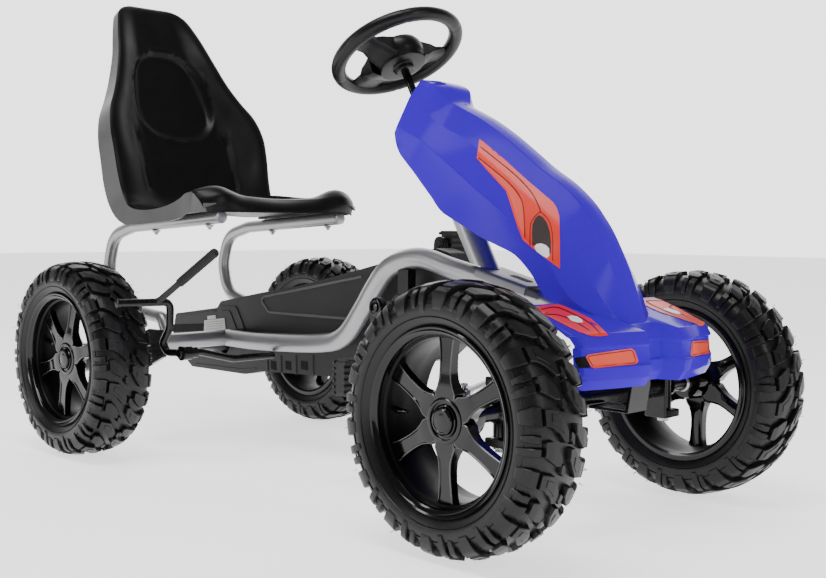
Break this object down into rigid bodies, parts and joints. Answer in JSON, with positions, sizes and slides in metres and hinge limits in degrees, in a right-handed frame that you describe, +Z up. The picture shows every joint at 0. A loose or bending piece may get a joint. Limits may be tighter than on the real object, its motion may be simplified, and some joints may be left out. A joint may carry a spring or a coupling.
{
  "type": "pedal go kart",
  "caption": "Child's pedal go kart: one-tube steel frame, moulded bucket seat, blue front cowl, knobbly pneumatic tyres, steering linkage, chain drive with guard, hand brake lever.",
  "frame": {"origin": "on the floor, at the middle of the kart's bounding box", "axes": "+X forward, +Y to the driver's left, +Z up"},
  "size_m": [1.2159, 0.6172, 0.7952],
  "materials": {
    "frame_silver": "satin",
    "frame_black": "satin",
    "gusset_grey": "satin",
    "black_moulding": "satin",
    "blue_moulding": "gloss",
    "tyre_rubber": "matte",
    "wheel_black": "gloss",
    "bright_steel": "satin",
    "grip_rubber": "matte"
  },
  "bodies": {
    "frame": {"main_spine_tube": "frame_silver", "front_axle_beam": "frame_black", "kingpin_fork_R": "frame_black", "kingpin_fork_L": "frame_black", "rear_cross_tube": "frame_silver", "axle_bracket_R": "frame_black", "axle_bracket_L": "frame_black", "seat_tube_R": "frame_silver", "seat_tube_L": "frame_silver", "steering_mast": "frame_silver", "column_bush_upper": "black_moulding", "column_bush_lower": "black_moulding", "steering_gusset": "gusset_grey", "bottom_bracket": "frame_silver", "chain_guard_inner": "black_moulding", "chain_guard_outer": "black_moulding", "drive_chain": "bright_steel", "seat_shell": "black_moulding", "seat_bolt_front_R": "bright_steel", "seat_bolt_rear_R": "bright_steel", "seat_bolt_front_L": "bright_steel", "seat_bolt_rear_L": "bright_steel", "front_cowl": "blue_moulding", "cowl_bracket": "frame_black", "kingpin_R": "bright_steel", "kingpin_L": "bright_steel", "brake_pivot_rod": "frame_black"},
    "rear_axle_set": {"rear_axle": "bright_steel", "rear_sprocket": "bright_steel", "tyre_RR": "tyre_rubber", "rim_RR": "wheel_black", "hub_cap_RR": "wheel_black", "tyre_RL": "tyre_rubber", "rim_RL": "wheel_black", "hub_cap_RL": "wheel_black"},
    "steering": {"steering_column": "frame_black", "pitman_arm": "bright_steel", "steering_wheel": "wheel_black"},
    "knuckle_R": {"steering_knuckle_R": "frame_black"},
    "knuckle_L": {"steering_knuckle_L": "frame_black"},
    "tie_rod_R_body": {"tie_rod_R": "bright_steel"},
    "tie_rod_L_body": {"tie_rod_L": "bright_steel"},
    "front_wheel_R": {"tyre_FR": "tyre_rubber", "rim_FR": "wheel_black", "hub_cap_FR": "wheel_black"},
    "front_wheel_L": {"tyre_FL": "tyre_rubber", "rim_FL": "wheel_black", "hub_cap_FL": "wheel_black"},
    "crank": {"crank_shaft": "bright_steel", "chainring": "bright_steel", "crank_arm_R": "frame_black", "crank_arm_L": "frame_black"},
    "pedal_R_body": {"pedal_R": "black_moulding"},
    "pedal_L_body": {"pedal_L": "black_moulding"},
    "brake": {"brake_lever": "frame_black", "brake_grip": "grip_rubber"}
  },
  "joints": [
    {"name": "steering_turn", "type": "hinge", "parent": "frame", "child": "steering", "pos_m": [0.0854, 0, 0.6399], "axis": [-0.497, 0, 0.8678], "range_deg": [-35, 35]},
    {"name": "kingpin_R_turn", "type": "hinge", "parent": "frame", "child": "knuckle_R", "pos_m": [0.4491, -0.17, 0.16], "axis": [0, 0, 1], "range_deg": [-18, 18]},
    {"name": "kingpin_L_turn", "type": "hinge", "parent": "frame", "child": "knuckle_L", "pos_m": [0.4491, 0.17, 0.16], "axis": [0, 0, 1], "range_deg": [-18, 18]},
    {"name": "tie_rod_R_turn", "type": "hinge", "parent": "steering", "child": "tie_rod_R_body", "pos_m": [0.30948, 0, 0.17821], "axis": [-0.497, 0, 0.8678], "range_deg": [-36, 36]},
    {"name": "tie_rod_L_turn", "type": "hinge", "parent": "steering", "child": "tie_rod_L_body", "pos_m": [0.3143, 0, 0.16979], "axis": [-0.497, 0, 0.8678], "range_deg": [-36, 36]},
    {"name": "front_wheel_R_spin", "type": "hinge", "parent": "knuckle_R", "child": "front_wheel_R", "pos_m": [0.4491, -0.24245, 0.16], "axis": [0, 1, 0], "continuous": true},
    {"name": "front_wheel_L_spin", "type": "hinge", "parent": "knuckle_L", "child": "front_wheel_L", "pos_m": [0.4491, 0.24245, 0.16], "axis": [0, 1, 0], "continuous": true},
    {"name": "rear_axle_spin", "type": "hinge", "parent": "frame", "child": "rear_axle_set", "pos_m": [-0.4002, 0, 0.16], "axis": [0, 1, 0], "continuous": true},
    {"name": "crank_spin", "type": "hinge", "parent": "frame", "child": "crank", "pos_m": [0.1081, 0, 0.262], "axis": [0, 1, 0], "continuous": true},
    {"name": "pedal_R_spin", "type": "hinge", "parent": "crank", "child": "pedal_R_body", "pos_m": [0.1081, -0.1, 0.17], "axis": [0, 1, 0], "continuous": true},
    {"name": "pedal_L_spin", "type": "hinge", "parent": "crank", "child": "pedal_L_body", "pos_m": [0.1081, 0.115, 0.354], "axis": [0, 1, 0], "continuous": true},
    {"name": "brake_lever_pull", "type": "hinge", "parent": "frame", "child": "brake", "pos_m": [-0.2109, -0.177, 0.177], "axis": [0, -1, 0], "range_deg": [0, 14]}
  ],
  "couplings": [
    {"joint": "kingpin_R_turn", "follows": "steering_turn", "ratio": 0.5},
    {"joint": "kingpin_L_turn", "follows": "steering_turn", "ratio": 0.5},
    {"joint": "tie_rod_R_turn", "follows": "steering_turn", "ratio": -1},
    {"joint": "tie_rod_L_turn", "follows": "steering_turn", "ratio": -1},
    {"joint": "crank_spin", "follows": "rear_axle_spin", "ratio": 0.625}
  ]
}
